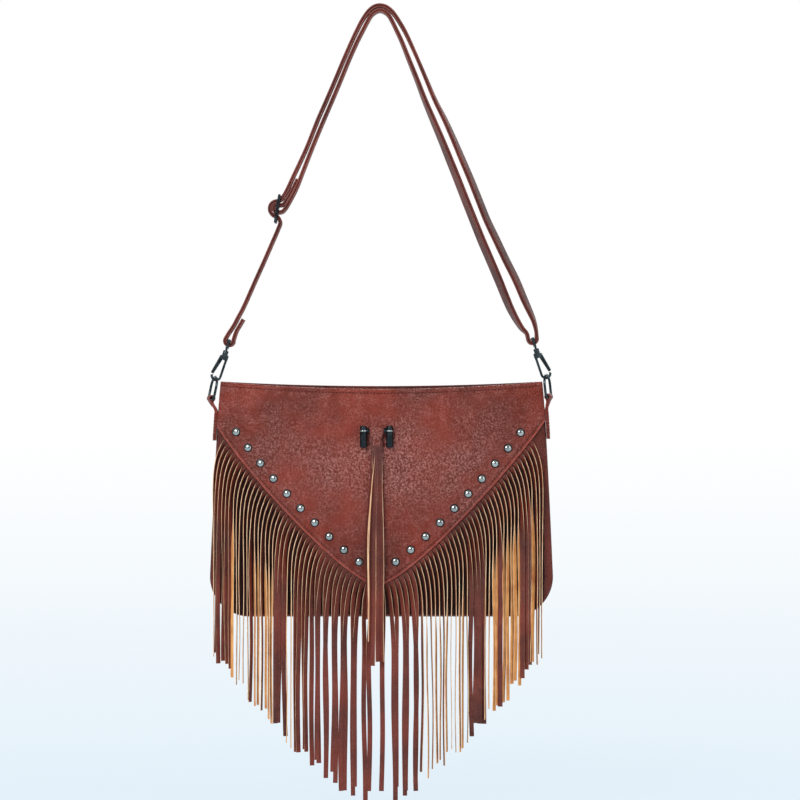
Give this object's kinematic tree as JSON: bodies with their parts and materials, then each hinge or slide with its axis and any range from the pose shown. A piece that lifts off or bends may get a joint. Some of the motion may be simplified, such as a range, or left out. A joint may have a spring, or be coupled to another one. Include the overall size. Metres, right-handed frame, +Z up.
{
  "type": "fringed shoulder bag",
  "caption": "Flat grained-leather shoulder bag with a V-shaped studded yoke, long strip fringe, tassel, top zip and a doubled strap on snap hooks.",
  "frame": {"origin": "under the doubled strap where it is hung, midway across the strap's width", "axes": "+Z up, +X to the right of someone facing the front, the front faces -Y"},
  "size_m": [0.3475, 0.0465, 0.7966],
  "materials": {
    "body_leather": "pebbled, semi-matt",
    "fringe_leather": "smooth face, tan napped back",
    "lining": "plain dark cloth",
    "zip_tape": "woven tape with moulded teeth",
    "gunmetal": "polished dark plating"
  },
  "bodies": {
    "strap": {"strap": "body_leather", "strap_slider": "gunmetal", "hook_eye_left": "gunmetal", "hook_eye_right": "gunmetal"},
    "bag": {"front_panel": "body_leather", "back_panel": "body_leather", "front_yoke": "body_leather", "lining": "lining", "zip_tape_front": "zip_tape", "zip_tape_back": "zip_tape", "tassel_frame": "gunmetal", "tassel_leather": "fringe_leather", "fringe_left": "fringe_leather", "fringe_right": "fringe_leather", "side_tab_left": "body_leather", "side_tab_right": "body_leather", "stud_left_1": "gunmetal", "stud_left_2": "gunmetal", "stud_left_3": "gunmetal", "stud_left_4": "gunmetal", "stud_left_5": "gunmetal", "stud_left_6": "gunmetal", "stud_left_7": "gunmetal", "stud_left_8": "gunmetal", "stud_left_9": "gunmetal", "stud_left_10": "gunmetal", "stud_right_1": "gunmetal", "stud_right_2": "gunmetal", "stud_right_3": "gunmetal", "stud_right_4": "gunmetal", "stud_right_5": "gunmetal", "stud_right_6": "gunmetal", "stud_right_7": "gunmetal", "stud_right_8": "gunmetal", "stud_right_9": "gunmetal", "stud_right_10": "gunmetal"},
    "hook_left": {"hook_body_left": "gunmetal"},
    "gate_left": {"hook_gate_left": "gunmetal"},
    "hook_right": {"hook_body_right": "gunmetal"},
    "gate_right": {"hook_gate_right": "gunmetal"},
    "ring_left": {"d_ring_left": "gunmetal"},
    "ring_right": {"d_ring_right": "gunmetal"},
    "zip_slider": {"zip_slider": "gunmetal"},
    "zip_puller": {"zip_puller": "gunmetal"}
  },
  "joints": [
    {"name": "bag_swing", "type": "hinge", "parent": "strap", "child": "bag", "pos_m": [0.001, 0, -0.36292], "axis": [1, 0, 0.006], "range_deg": [-20, 20]},
    {"name": "hook_swivel_left", "type": "hinge", "parent": "strap", "child": "hook_left", "pos_m": [-0.1505, 0, -0.328], "axis": [0.3206, 0, 0.9472], "range_deg": [-8, 8]},
    {"name": "gate_left", "type": "hinge", "parent": "hook_left", "child": "gate_left", "pos_m": [-0.15813, -0.00038, -0.34379], "axis": [0.1645, -0.9848, -0.0557], "range_deg": [0, 16], "stiffness_Nm_per_rad": 0.02, "springref_deg": -8.59},
    {"name": "ring_pivot_left", "type": "hinge", "parent": "bag", "child": "ring_left", "pos_m": [-0.16887, 0, -0.38544], "axis": [-0.3345, 0.9397, 0.0711], "range_deg": [-1.5, 1.5]},
    {"name": "hook_swivel_right", "type": "hinge", "parent": "strap", "child": "hook_right", "pos_m": [0.1525, 0, -0.326], "axis": [-0.3206, 0, 0.9472], "range_deg": [-8, 8]},
    {"name": "gate_right", "type": "hinge", "parent": "hook_right", "child": "gate_right", "pos_m": [0.16013, -0.00038, -0.34179], "axis": [0.1645, 0.9848, 0.0557], "range_deg": [0, 16], "stiffness_Nm_per_rad": 0.02, "springref_deg": -8.59},
    {"name": "ring_pivot_right", "type": "hinge", "parent": "bag", "child": "ring_right", "pos_m": [0.16859, 0, -0.3838], "axis": [0.3401, 0.9397, 0.0358], "range_deg": [-1.5, 1.5]},
    {"name": "zip_slide", "type": "slide", "parent": "bag", "child": "zip_slider", "axis": [1, 0, 0], "range_m": [0, 0.215]},
    {"name": "zip_puller_flip", "type": "hinge", "parent": "zip_slider", "child": "zip_puller", "pos_m": [-0.112, 0, -0.3787], "axis": [0, -1, 0], "range_deg": [0, 115]}
  ]
}
